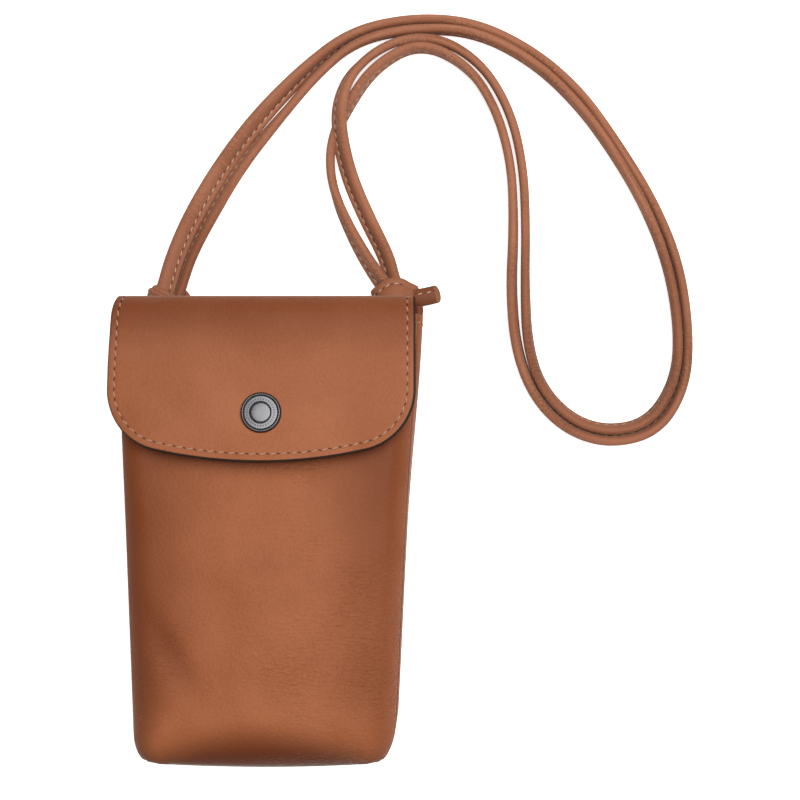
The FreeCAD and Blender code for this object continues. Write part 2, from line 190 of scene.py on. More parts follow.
def half_ring(y):
    """The right half of the body across a height: x, z, normal and distance to a seam, front to back."""
    lengths, x, z, depth = half_outline(y)
    rising = np.arange(len(x)) > np.argmax(x > x.max() - 6.0)
    back_seam = np.interp(back_share * depth, z[rising], lengths[rising])
    front_seam = np.interp(front_share * depth, z[rising], lengths[rising])
    front_part = lengths[-1] + (front_seam - lengths[-1]) * half_steps
    side_part = front_seam + (back_seam - front_seam) * side_steps
    back_part = back_seam * half_steps[::-1]
    places = np.concatenate([front_part, side_part[1:], back_part[1:]])
    seam_gap = np.minimum(np.abs(places - front_seam), np.abs(places - back_seam))
    normal_x = np.interp(places, lengths, np.gradient(z, lengths))
    normal_z = np.interp(places, lengths, -np.gradient(x, lengths))
    size = np.hypot(normal_x, normal_z)
    return np.array([np.interp(places, lengths, x), np.interp(places, lengths, z),
                     normal_x / size, normal_z / size, seam_gap])


# Each column of the body's skin runs from the mouth down its wall, rolls under and ends on the base's middle.
table = np.array([half_ring(y) for y in table_y])
front_seam_column = len(half_steps) - 1
back_seam_column = front_seam_column + len(side_steps) - 1
column_count = back_seam_column + len(half_steps)
shoulder = half_ring(shoulder_y)
arch_half_width = 43.0
spine_half_width = 38.0
arch = np.clip(1 - (shoulder[0] / arch_half_width) ** 2, 0, 1) ** 0.8
front_weight = np.clip(shoulder[3], 0, 1) ** 2
back_weight = np.clip(-shoulder[3], 0, 1) ** 2
side_weight = 1 - front_weight - back_weight
roll_in = front_weight * (6.0 + 16.0 * arch) + side_weight * 6.0 + back_weight * 4.0
roll_down = front_weight * (9.0 + 12.0 * arch) + side_weight * 11.0 + back_weight * 6.0
corner_raise = 4.6 * (1 - arch) * (front_weight + 0.75 * side_weight + back_weight)
spine_shares = np.concatenate([half_steps, np.ones(len(side_steps) - 1), half_steps[::-1][1:]])
spine_x = spine_half_width * spine_shares
spine_z = 13.0 - 8.0 * np.clip(1 - (spine_x / arch_half_width) ** 2, 0, 1) ** 0.8
wall_steps = np.linspace(0, 1, 90) ** 1.2
roll_angles = np.radians(np.linspace(0, 90, 16)[1:])[:, None]
spine_steps = np.array([0.35, 0.7, 1.0])[:, None]
walls = len(wall_steps)
roll_end = walls + len(roll_angles)
row_count = roll_end + len(spine_steps)
base_row = roll_end - 4
to_fold = np.array([0.0, 1.0, 0.0])
back_edge_y = 74.85
far_from_seams = 99.0
half_skin = np.zeros((row_count, column_count, 3))
half_normal = np.zeros((row_count, column_count, 3))
half_seam = np.zeros((row_count, column_count))


def column_values(quantity, column, heights):
    """One quantity of a column of the skin at given heights."""
    return np.interp(heights, table_y, table[:, quantity, column])


for column in range(column_count):
    rise = np.clip((column_values(1, column, mouth_y) - 2.7) / 2.0, 0, 1) ** 0.6
    top = back_edge_y + (mouth_y - back_edge_y) * rise
    heights = top + (base_y + corner_raise[column] + roll_down[column] - top) * wall_steps
    x, z, normal_x, normal_z, seam_gap = [column_values(quantity, column, heights) for quantity in range(5)]
    half_skin[:walls, column] = np.array([x, heights, z]).T
    half_normal[:walls, column] = np.array([normal_x, 0 * heights, normal_z]).T
    half_seam[:walls, column] = seam_gap
    foot = half_skin[walls - 1, column]
    outward = half_normal[walls - 1, column]
    inset = outward * roll_in[column] * (1 - np.cos(roll_angles))
    half_skin[walls:roll_end, column] = foot - inset - to_fold * roll_down[column] * np.sin(roll_angles)
    half_normal[walls:roll_end, column] = unit(outward * roll_down[column] * np.cos(roll_angles)
                                               - to_fold * roll_in[column] * np.sin(roll_angles))
    half_seam[walls:roll_end, column] = seam_gap[-1]
    edge = half_skin[roll_end - 1, column]
    spine = np.array([spine_x[column], base_y + 2.4 * spine_shares[column] ** 2, spine_z[column]])
    half_skin[roll_end:, column] = edge + (spine - edge) * spine_steps
    half_normal[roll_end:, column] = -to_fold
roll_rows = np.arange(row_count) - base_row
base_seam = np.abs(roll_rows)[:, None] * roll_down[None, :] * (math.pi / 2) / len(roll_angles)
half_seam[base_row - 6:] = np.minimum(half_seam, base_seam)[base_row - 6:]
half_seam[roll_end:] = far_from_seams


def dent_place(x, y):
    """Where a point of the front lies along and across the slack dent low on the left."""
    return (x + 32.0) * 0.54 - (y + 41.0) * 0.84, (x + 32.0) * 0.84 + (y + 41.0) * 0.54


def leather_form(points, facing):
    """How far the front stands out or in: a slack dent low on the left, and soft waves across the front."""
    x = points[..., 0]
    y = points[..., 1]
    front = np.clip(facing[..., 2], 0, 1) ** 2
    along, across = dent_place(x, y)
    valley = -0.95 * np.exp(-(across / 4.5) ** 2 - (along / 17.0) ** 2)
    ridge = 0.45 * np.exp(-((across + 8.0) / 4.0) ** 2 - ((along - 6.0) / 13.0) ** 2)
    wide = -0.9 * np.exp(-((x + 22.0) / 17.0) ** 2 - ((y + 30.0) / 20.0) ** 2)
    waves = 0.16 * np.sin(0.21 * y + 0.05 * x) * np.sin(0.09 * x + 1.0)
    waves = waves * eased_step(-y, -20.0, 20.0)
    return front * (valley + ridge + wide + waves)


def mirrored(grid, columns):
    """The columns of a grid. A column below zero is the mirror image of its number."""
    picked = grid[:, np.abs(columns)].copy()
    picked[..., 0] *= np.where(np.array(columns) < 0, -1.0, 1.0)
    return picked


def body_layer(columns, first_row, end_row, inset):
    """A grid of the body's skin moved in by inset, sides spread, base tucked in and seams sunk."""
    points = mirrored(half_skin[first_row:end_row], columns)
    facing = mirrored(half_normal[first_row:end_row], columns)
    x, y, z = points[..., 0], points[..., 1], points[..., 2]
    spread = eased_step(y, 0.0, 66.0) * np.clip(x / 52.0, 0, 1) ** 4 * np.clip(1 - z / 15.0, 0, 1)
    tuck = eased_step(-y, 64.0, 80.0) * np.clip(x / 46.0, 0, 1) ** 4
    points[..., 0] = x + 0.65 + 1.5 * spread - 1.3 * tuck
    points[..., 1] = y - 0.9 * eased_step(-y, 62.0, 84.0)
    seam = half_seam[first_row:end_row, np.abs(columns)]
    out = leather_form(points, facing) - 0.8 * np.exp(-(seam / 0.8) ** 2)
    return points + facing * (out - inset)[..., None]


# Painted shade: the body is painted darker where it turns from the light, in its seam grooves and dent, and
# below the flap's edge.
def body_painted_shade(points):
    """Painted shade: the body's sides, base roll, seams and dent, and a painted shadow under the flap's edge.
    """
    x, y, z = points.T
    across = np.abs(x) / np.interp(y, (base_y, mouth_y), (47.0, 57.0))
    side = eased_step(across, 0.25 + 0.5 * eased_step(-y, 46.0, 76.0), 0.97)
    side = side * (1 - 0.6 * eased_step(across, 0.86, 0.98))
    side = side * (1 - 0.25 * eased_step(-y, 50.0, 76.0)) * (0.4 + 0.6 * eased_step(z, 4.0, 15.0))
    side = side * (1 - 0.4 * eased_step(-y, -30.0, 40.0) * (x > 0))
    under = eased_step(-63.5 - 6.0 * (x / 30.0) ** 2 - y, 0.0, 15.0)
    below_flap = 25.0 + x ** 2 / 330.0 - y
    flap_edge_shadow = np.exp(-(below_flap / 5.0) ** 2) * eased_step(-np.abs(x), -50.0, -30.0)
    seams = body_layer([front_seam_column, -front_seam_column], 0, base_row, 0.0)[::-1]
    gaps = [np.hypot(x - np.interp(y, seam[:, 1], seam[:, 0]), z - np.interp(y, seam[:, 1], seam[:, 2]))
            for seam in (seams[:, 0], seams[:, 1])]
    sewn = np.exp(-(np.minimum(*gaps) / 0.8) ** 2)
    dent_along, dent_across = dent_place(x - 1.5, y)
    dent = np.exp(-(dent_across / 4.5) ** 2 - (dent_along / 14.0) ** 2) * (z > 14.0)
    return np.clip(0.8 * side + under + 0.5 * flap_edge_shadow + 0.7 * sewn + 0.25 * dent, 0, 1)


def paint_shade(piece, amount):
    """Stores on each point of a piece how much shade is painted on it: evenly, or by a function of its place.
    """
    points = np.zeros(3 * len(piece.data.vertices))
    piece.data.vertices.foreach_get("co", points)
    points = points.reshape(-1, 3) / mm
    values = amount(points) if callable(amount) else np.full(len(points), amount)
    layer = piece.data.attributes.new("painted_shade", "FLOAT", "POINT")
    layer.data.foreach_set("value", values)


def finished_piece(name, points, faces, numbers, materials, turn_outwards=False, pattern=None):
    """A piece from points in millimetres, smooth but for its sharp edges, with doubled points merged."""
    mesh = bpy.data.meshes.new(name)
    mesh.from_pydata((np.array(points) * mm).tolist(), [], faces)
    mesh.polygons.foreach_set("material_index", numbers)
    if pattern:
        layer = mesh.uv_layers.new(name="pattern")
        layer.data.foreach_set("uv", (np.array(pattern) * mm).ravel())
    for material in materials:
        mesh.materials.append(material)
    work = bmesh.new()
    work.from_mesh(mesh)
    bmesh.ops.remove_doubles(work, verts=work.verts, dist=0.002 * mm)
    bmesh.ops.dissolve_degenerate(work, dist=0.0005 * mm, edges=work.edges)
    if turn_outwards:
        bmesh.ops.recalc_face_normals(work, faces=work.faces)
    work.to_mesh(mesh)
    work.free()
    mesh.shade_smooth()
    mesh.set_sharp_from_angle(angle=math.radians(42))
    piece = bpy.data.objects.new(name, mesh)
    scene.collection.objects.link(piece)
    return piece


def shell(name, outer, inner, materials, edge_number=0, closed=False, last_edge=True):
    """A sheet with thickness between two grids in millimetres; its cut edges take a material of their own."""
    rows, columns = outer.shape[:2]
    points = np.concatenate([outer.reshape(-1, 3), inner.reshape(-1, 3)])
    below = rows * columns
    last = below - columns
    spans = columns if closed else columns - 1
    faces = []
    for first in range(0, last, columns):
        for column in range(spans):
            after = (column + 1) % columns
            ring = (first + column, first + columns + column, first + columns + after, first + after)
            faces.append(ring)
            faces.append(tuple(below + number for number in reversed(ring)))
    numbers = [0] * len(faces)
    border = []
    for column in range(spans):
        after = (column + 1) % columns
        border.append((column, after))
        if last_edge:
            border.append((last + after, last + column))
    if not closed:
        for first in range(0, last, columns):
            border.append((first + columns, first))
            border.append((first + columns - 1, first + 2 * columns - 1))
    for start, end in border:
        faces.append((start, end, below + end, below + start))
        numbers.append(edge_number)
    return finished_piece(name, points, faces, numbers, materials)


def mounted(piece, body, slot, *nodes):
    """Rides a piece on a body, in place of the CAD nodes that it stands for. Its slot is not used."""
    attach(piece, body)
    if nodes:
        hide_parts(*nodes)


def add_node(tree, kind, inputs, **settings):
    """A node with its settings. Each of its inputs is linked to a socket or set to a value."""
    node = tree.nodes.new(kind)
    for name, value in settings.items():
        setattr(node, name, value)
    for key, value in inputs.items():
        if isinstance(value, bpy.types.NodeSocket):
            tree.links.new(value, node.inputs[key])
        else:
            node.inputs[key].default_value = value
    return node


def calculated(tree, operation, *values):
    """The result of a calculation with sockets and numbers."""
    return add_node(tree, "ShaderNodeMath", dict(enumerate(values)), operation=operation).outputs[0]


def noise(tree, place, scale, detail=2.0, distortion=0.0):
    """Noise over a surface, by a scale per metre."""
    inputs = {"Vector": place, "Scale": scale, "Detail": detail, "Distortion": distortion}
    return add_node(tree, "ShaderNodeTexNoise", inputs).outputs["Fac"]


def ranged(tree, value, start, end, low=0.0, high=1.0):
    """A value stretched from one range to another and held inside it."""
    inputs = {"Value": value, "From Min": start, "From Max": end, "To Min": low, "To Max": high}
    return add_node(tree, "ShaderNodeMapRange", inputs).outputs[0]


def mixed(tree, share, first, second):
    """A colour between two, by a share that changes over the surface."""
    inputs = {"Factor": share, "A": first, "B": second}
    return add_node(tree, "ShaderNodeMix", inputs, data_type="RGBA").outputs["Result"]


def raised(tree, height, strength):
    """The normal of a surface with a height in relief."""
    inputs = {"Height": height, "Strength": strength, "Distance": 0.0002}
    return add_node(tree, "ShaderNodeBump", inputs).outputs[0]


def leather_skin_group():
    """The skin of a smooth hide: its pebbles, pores and fine creases as a height, its clouds as a tone."""
    group = bpy.data.node_groups.new("leather_skin", "ShaderNodeTree")
    group.interface.new_socket(name="Place", in_out="INPUT", socket_type="NodeSocketVector")
    for name in ("Grain per metre", "Crease per metre", "Crease amount"):
        group.interface.new_socket(name=name, in_out="INPUT", socket_type="NodeSocketFloat")
    for name in ("Height", "Tone"):
        group.interface.new_socket(name=name, in_out="OUTPUT", socket_type="NodeSocketFloat")
    place, grain_scale, crease_scale, crease_amount = group.nodes.new("NodeGroupInput").outputs[:4]
    pebbles = add_node(group, "ShaderNodeTexVoronoi", {"Vector": place, "Scale": grain_scale},
                       feature="SMOOTH_F1").outputs["Distance"]
    pores = noise(group, place, grain_scale, 3.0)
    stretch = {"Vector": place, "Rotation": (0, 0, math.radians(9)), "Scale": (1.0, 2.6, 1.8)}
    stretched = add_node(group, "ShaderNodeMapping", stretch).outputs[0]
    crease = noise(group, stretched, crease_scale, 2.5, 0.7)
    groove = calculated(group, "ABSOLUTE", calculated(group, "SUBTRACT", crease, 0.5))
    patches = ranged(group, noise(group, place, 24.0, 1.0), 0.42, 0.68)
    amount = calculated(group, "MULTIPLY", patches, crease_amount)
    creased = calculated(group, "MULTIPLY", ranged(group, groove, 0.0, 0.14), amount)
    pebbled = calculated(group, "MULTIPLY_ADD", pebbles, -0.55, creased)
    clouds = calculated(group, "MULTIPLY_ADD", pores, 0.35, noise(group, place, 38.0, 4.0))
    add_node(group, "NodeGroupOutput", {"Height": calculated(group, "MULTIPLY_ADD", pores, 0.35, pebbled),
                                        "Tone": calculated(group, "MULTIPLY_ADD", pebbles, -0.15, clouds)})
    return group


leather_skin = leather_skin_group()


def leather_material(name, dark, light, roughness, grain, crease, crease_amount, relief, pattern="Object"):
    """Finished leather: its colour clouds between two tones, and its grain and creases stand in relief."""
    material, tree, shader = new_material(name, {
        "Specular IOR Level": 0.11, "Sheen Weight": 0.25, "Sheen Roughness": 0.3,
        "Sheen Tint": (1.0, 0.88, 0.78, 1)})
    inputs = {"Place": tree.nodes.new("ShaderNodeTexCoord").outputs[pattern], "Grain per metre": grain,
              "Crease per metre": crease, "Crease amount": crease_amount}
    height, tone = add_node(tree, "ShaderNodeGroup", inputs, node_tree=leather_skin).outputs
    clouded = mixed(tree, ranged(tree, tone, 0.35, 0.8), dark + (1,), light + (1,))
    # Painted shade: the colour is drawn towards a dark brown by each point's painted_shade value.
    painted_shade_share = add_node(tree, "ShaderNodeAttribute", {}, attribute_name="painted_shade").outputs["Fac"]
    shade_colour = (0.49 * dark[0], 0.37 * dark[1], 0.27 * dark[2], 1)
    gloss = ranged(tree, tone, 0.2, 0.9, roughness - 0.05, roughness + 0.06)
    tree.links.new(mixed(tree, painted_shade_share, clouded, shade_colour), shader.inputs["Base Color"])
    tree.links.new(gloss, shader.inputs["Roughness"])
    tree.links.new(raised(tree, height, relief), shader.inputs["Normal"])
    return material


def toned_material(name, dark, light, scale, inputs, detail=2.0, gloss=None):
    """A surface whose colour, and gloss where its range is given, wander by a scale per metre."""
    material, tree, shader = new_material(name, inputs)
    place = tree.nodes.new("ShaderNodeTexCoord").outputs["Object"]
    wander = noise(tree, place, scale, detail)
    tree.links.new(mixed(tree, wander, dark + (1,), light + (1,)), shader.inputs["Base Color"])
    if gloss:
        tree.links.new(ranged(tree, wander, 0.0, 1.0, *gloss), shader.inputs["Roughness"])
    return material


def edge_material(name, colour):
    """A cut edge that has been sealed with dark edge paint."""
    dark = tuple(0.7 * part for part in colour)
    light = tuple(1.3 * part for part in colour)
    return toned_material(name, dark, light, 700.0, {"Roughness": 0.42, "Specular IOR Level": 0.25})


def round_the_back(first):
    """The columns from one on the right round the back to its mirror image on the left."""
    return list(range(first, column_count)) + list(range(2 - column_count, 1 - first))


def body_sheet(name, columns, rows, top, bottom, materials, **settings):
    """A sheet of the body on some columns and rows, between two depths below the body's outside."""
    outer = body_layer(columns, *rows, top)
    inner = body_layer(columns, *rows, bottom)
    return shell(name, outer, inner, materials, **settings)


body_leather = leather_material("body_leather", (0.247, 0.074, 0.0265), (0.311, 0.103, 0.0435),
                                roughness=0.54, grain=1050.0, crease=360.0, crease_amount=0.6, relief=1.2)
raw_edge = edge_material("raw_edge", (0.10, 0.045, 0.025))
leather_finish = [body_leather, raw_edge]
front_columns = list(range(-front_seam_column, front_seam_column + 1))
right_columns = list(range(front_seam_column, back_seam_column + 1))
back_columns = round_the_back(back_seam_column)
left_columns = list(range(-back_seam_column, 1 - front_seam_column))
whole_ring = front_columns + right_columns[1:] + back_columns[1:] + left_columns[1:-1]
for name, node, columns in (("front_leather", "front_panel", front_columns),
                            ("right_gusset_leather", "right_gusset", right_columns),
                            ("back_leather", "back_panel", back_columns),
                            ("left_gusset_leather", "left_gusset", left_columns)):
    panel = body_sheet(name, columns, (0, base_row + 1), 0.0, leather, leather_finish, edge_number=1)
    paint_shade(panel, body_painted_shade)
    mounted(panel, "pouch", "tan_leather", node)
base_strip = body_sheet("base_leather", whole_ring, (base_row, row_count), 0.0, leather, leather_finish,
                        edge_number=1, closed=True, last_edge=False)
paint_shade(base_strip, body_painted_shade)
mounted(base_strip, "pouch", "tan_leather", "base_panel")

# The lining: plain brown cloth in two halves, sewn to a band of thin leather that faces the inside of the
# mouth. Both hang inside the body's leather and are held by the hem of the mouth.
lining_cloth, tree, shader = new_material("lining_cloth", {"Roughness": 0.85})
yarns = {"Vector": tree.nodes.new("ShaderNodeTexCoord").outputs["Object"], "Scale": 480.0}
warp, weft = [add_node(tree, "ShaderNodeTexWave", yarns, bands_direction=way).outputs["Fac"]
              for way in ("X", "Y")]
weave = calculated(tree, "MULTIPLY", warp, weft)
cloth_colour = mixed(tree, weave, (0.11, 0.062, 0.036, 1), (0.21, 0.13, 0.08, 1))
tree.links.new(cloth_colour, shader.inputs["Base Color"])
tree.links.new(raised(tree, weave, 0.3), shader.inputs["Normal"])
facing_width = 15.0
facing_row = int(np.argmin(np.abs(half_skin[:, 0, 1] - (mouth_y - facing_width))))
side_middle = (front_seam_column + back_seam_column) // 2
lining_front = list(range(-side_middle, side_middle + 1))
for name, node, columns in (("front_lining_cloth", "front_lining", lining_front),
                            ("back_lining_cloth", "back_lining", round_the_back(side_middle))):
    cloth = body_sheet(name, columns, (facing_row, row_count), 2.2, 2.8, [lining_cloth])
    mounted(cloth, "pouch", "lining_cloth", node)
inner_leather = leather_material("inner_leather", (0.20, 0.055, 0.018), (0.26, 0.076, 0.027),
                                 roughness=0.6, grain=1700.0, crease=300.0, crease_amount=0.4, relief=0.25)
facing = body_sheet("mouth_facing_leather", whole_ring, (0, facing_row + 2), 1.55, 2.35, [inner_leather],
                    closed=True)
mounted(facing, "pouch", "inner_leather", "mouth_facing")

# The flap: two leathers glued on a thin interlining, cut with round corners, its edge sealed with dark paint.
# It grows out of the back, rolls over the mouth and lies on the slant of the front.
slope = math.atan2(depths[1] - depths[0], mouth_y)
slope_sine = math.sin(slope)
slope_cosine = math.cos(slope)
roll_radius = 9.849
roll_y = fold_y - roll_radius
roll_length = roll_radius * (math.pi - slope)
flap_half_width = 54.0
flap_length = 51.0
flap_thickness = 2.7
flap_gap = 3.2
corner_radius = 22.0
corner_x = flap_half_width - corner_radius
tip_radius = 165.0
tip_centre = flap_length - tip_radius
corner_drop = tip_centre + math.sqrt((tip_radius - corner_radius) ** 2 - corner_x ** 2)
corner_end_x = corner_x * tip_radius / (tip_radius - corner_radius)
flap_turn = math.atan2(corner_drop - tip_centre, corner_x)
snap_y = 42.0
snap_drop = (roll_y + roll_radius * slope_sine - snap_y) / slope_cosine
snap_sunk = 0.35
stitch_inset = 2.4


def flap_frame(length):
    """Place, downward way and outward normal of the flap's outside at a length along it, in (y, z)."""
    angle = np.minimum(length, roll_length) / roll_radius - math.pi / 2
    rest = np.maximum(length - roll_length, 0)
    normal = np.stack([np.cos(angle), np.sin(angle)], axis=-1)
    way = np.stack([-np.sin(angle), np.cos(angle)], axis=-1)
    centre = np.array([roll_y, roll_radius])
    return centre + normal * roll_radius + way * rest[..., None], way, normal


def lower_edge(x):
    """How far down the flap reaches at a distance from its middle."""
    side = np.abs(x)
    tip = tip_centre + np.sqrt(tip_radius ** 2 - side ** 2)
    past_corner = np.clip(side - corner_x, 0, None)
    corner = corner_drop + np.sqrt(np.clip(corner_radius ** 2 - past_corner ** 2, 0, None))
    return np.where(side < corner_end_x, tip, corner)


def edge_distance(x, drop):
    """Distance of a point of the flap from its cut edge."""
    side = np.abs(x)
    from_corner = corner_radius - np.hypot(side - corner_x, drop - corner_drop)
    from_tip = tip_radius - np.hypot(x, drop - tip_centre)
    in_corner = (side > corner_x) & (drop > corner_drop)
    straight = np.where(drop < 0, flap_half_width - side, np.minimum(flap_half_width - side, from_tip))
    return np.where(in_corner, np.minimum(from_corner, straight), straight)


flap_x = flap_half_width * np.sin(np.linspace(-math.pi / 2, math.pi / 2, 141))
roll_steps = np.linspace(0, roll_length, 34)
drop_steps = 1 - np.linspace(1, 0, 62)[1:] ** 1.6
flap_drops = np.vstack([np.repeat(roll_steps[:, None] - roll_length, len(flap_x), axis=1),
                        drop_steps[:, None] * lower_edge(flap_x)[None, :]])
flap_grid_x = np.repeat(flap_x[None, :], len(flap_drops), axis=0)


def drawn_in(x, drop):
    """Where a point of the flap lies across it: the fold's left end drawn in, the left side spread."""
    pulled = 1.6 * np.exp(-((drop + roll_length / 2) / 10.0) ** 2) * np.clip(-x / flap_half_width, 0, 1) ** 3
    return x * (1 + 0.009 * eased_step(drop, 0.0, 20.0) * (x < 0)) + pulled


def flap_lift(x, drop):
    """How far the flap stands out past its slant: its tip flares below the snap, its right a little."""
    tip = 1.8 * np.clip((drop - 33.0) / 18.0, 0, None) ** 2
    return tip + 0.8 * np.clip(x / flap_half_width, 0, None) ** 4 * eased_step(drop, 4.0, 40.0)


def flap_place(x, drop, depth):
    """The place of a point of the flap at a depth below its outside, and the way out of the leather there."""
    places, ways, normals = flap_frame(drop + roll_length)
    step = 0.05
    tilt_down = (flap_lift(x, drop + step) - flap_lift(x, drop - step)) / (2 * step)
    tilt_across = (flap_lift(x + step, drop) - flap_lift(x - step, drop)) / (2 * step)
    outs = unit(np.concatenate([-tilt_across[..., None], normals - ways * tilt_down[..., None]], axis=-1))
    spots = places + normals * flap_lift(x, drop)[..., None]
    spots = np.concatenate([drawn_in(x, drop)[..., None], spots], axis=-1)
    return spots - outs * np.asarray(depth)[..., None], outs


def flap_layer(depth):
    """A grid of the flap at a depth below its outside, with pressed stitching, rounded edge and snap seat."""
    gap = np.clip(edge_distance(flap_grid_x, flap_drops), 0, None)
    pressed = 0.2 * np.exp(-((gap - stitch_inset) / 0.45) ** 2)
    rounded = np.clip(0.9 - gap, 0, 0.9) / 0.9
    rounded = 0.5 * (1 - np.sqrt(np.clip(1 - rounded ** 2, 0, 1)))
    soft = 0.22 * np.sin(flap_grid_x * 0.07 + 1.0) * np.sin(flap_drops * 0.11)
    soft = soft * eased_step(gap, 1.0, 12.0) * (flap_drops > 0)
    from_snap = np.hypot(flap_grid_x, flap_drops - snap_drop)
    seat = snap_sunk * np.exp(-(from_snap / 9.5) ** 6)
    sunk = depth + (pressed + rounded) * max(0.0, 1 - depth / leather) - soft
    return flap_place(flap_grid_x, flap_drops, sunk + seat * max(0.0, 1 - depth / flap_thickness))[0]


def flap_painted_shade(points):
    """Painted shade on the flap: darker along its fold, and a little towards its left."""
    fold = np.exp(-((points[:, 1] - 80.0) / 12.5) ** 2) * eased_step(points[:, 1], 89.0, 81.0)
    return np.clip(0.62 * fold + 0.12 * eased_step(-points[:, 0], -10.0, 54.0), 0, 1)


def hinged(piece, slot, *nodes):
    """Bakes a piece's place into its mesh, in place of the CAD nodes it stands for. Its slot is not used."""
    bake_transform(piece)
    if nodes:
        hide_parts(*nodes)


flap_hide = leather_material("flap_hide", (0.246, 0.074, 0.0275), (0.308, 0.106, 0.047),
                             roughness=0.54, grain=1050.0, crease=330.0, crease_amount=0.2, relief=1.1)
edge_paint = edge_material("edge_paint", (0.028, 0.018, 0.014))
fibre = toned_material("pressed_fibre", (0.42, 0.37, 0.30), (0.60, 0.55, 0.47), 900.0, {"Roughness": 0.9})
for name, top, bottom, finish, slot, nodes in (
        ("flap_cover", 0.0, 1.5, flap_hide, "tan_leather", ("flap_leather", "fold_leather")),
        ("flap_stiffener", 1.5, 1.9, fibre, "stiffener", ("flap_interlining",)),
        ("flap_underside", 1.9, flap_thickness, inner_leather, "inner_leather",
         ("flap_lining", "fold_lining"))):
    layer = shell(name, flap_layer(top)[::-1], flap_layer(bottom)[::-1], [finish, edge_paint], edge_number=1)
    paint_shade(layer, flap_painted_shade)
    hinged(layer, slot, *nodes)


def flap_outline(inset):
    """(x, drop) along the flap's edge from fold to fold, at a distance inside it."""
    corner = corner_radius - inset
    tip = tip_radius - inset
    left_half = [(inset - flap_half_width, drop) for drop in np.linspace(1.5 - roll_length, corner_drop, 60)]
    for angle in np.linspace(0, flap_turn, 24)[1:]:
        left_half.append((-corner_x - corner * math.cos(angle), corner_drop + corner * math.sin(angle)))
    for angle in np.linspace(math.pi - flap_turn, math.pi / 2, 40)[1:]:
        left_half.append((tip * math.cos(angle), tip_centre + tip * math.sin(angle)))
    return np.array(left_half + [(-x, drop) for x, drop in reversed(left_half[:-1])])


def sweep(name, path, width_ways, out_ways, section, materials, cut_number=0, cut_slant=0.0):
    """A solid along a path, with a section of (across, out) pairs. Its far end may be slanted."""
    count = len(section)
    points = (path[:, None, :] + section[None, :, :1] * width_ways[:, None, :]
              + section[None, :, 1:] * out_ways[:, None, :])
    points[-1] -= section[:, 1:] * cut_slant * unit(path[-1] - path[-2])
    along = lengths_of(path)
    around = lengths_of(np.vstack([section, section[:1]]))
    faces = []
    pattern = []
    for ring in range(len(path) - 1):
        first = ring * count
        for step in range(count):
            after = (step + 1) % count
            faces.append((first + step, first + after, first + count + after, first + count + step))
            pattern.extend([(around[step], along[ring]), (around[step + 1], along[ring]),
                            (around[step + 1], along[ring + 1]), (around[step], along[ring + 1])])
    numbers = [0] * len(faces) + [cut_number, cut_number]
    for first in (0, (len(path) - 1) * count):
        faces.append(tuple(range(first, first + count)))
        pattern.extend([tuple(pair) for pair in section])
    return finished_piece(name, points.reshape(-1, 3), faces, numbers, materials,
                          turn_outwards=True, pattern=pattern)


bead_section = np.array([(-0.25, 1.3), (0.0, 1.34), (0.3, 1.12), (0.52, 0.65), (0.6, 0.0), (0.52, -0.65),
                         (0.3, -1.12), (0.0, -1.34), (-0.25, -1.3)])
edge_line = flap_outline(0.0)
bead_line, outs = flap_place(edge_line[:, 0], edge_line[:, 1], 1.35)
bead_widths = np.interp(edge_line[:, :1], (-54.0, -40.0, 40.0, 54.0), (0.3, 0.6, 0.6, 0.9))
edge_ways = unit(np.cross(np.gradient(bead_line, axis=0), outs)) * bead_widths
edge_bead = sweep("flap_edge_paint", bead_line, edge_ways, outs, bead_section, [edge_paint])
hinged(edge_bead, "tan_leather")

# The sewing: waxed beige thread in slanted stitches that sink into the leather between needle holes, each a
# dark bead of painted shade.
# One row follows the flap's edge from fold to fold. Short ones hold the hems of the gussets and the mouth.
waxed = {"Roughness": 0.6}
thread = toned_material("thread", (0.25, 0.115, 0.06), (0.41, 0.225, 0.14), 2600.0, waxed)
pale_thread = toned_material("pale_thread", (0.34, 0.21, 0.13), (0.62, 0.45, 0.33), 2600.0, waxed)
# Painted shade: the needle holes are dark beads that stand in for the shade inside the holes.
needle_hole_shade = edge_material("needle_hole_shade", (0.035, 0.012, 0.006))


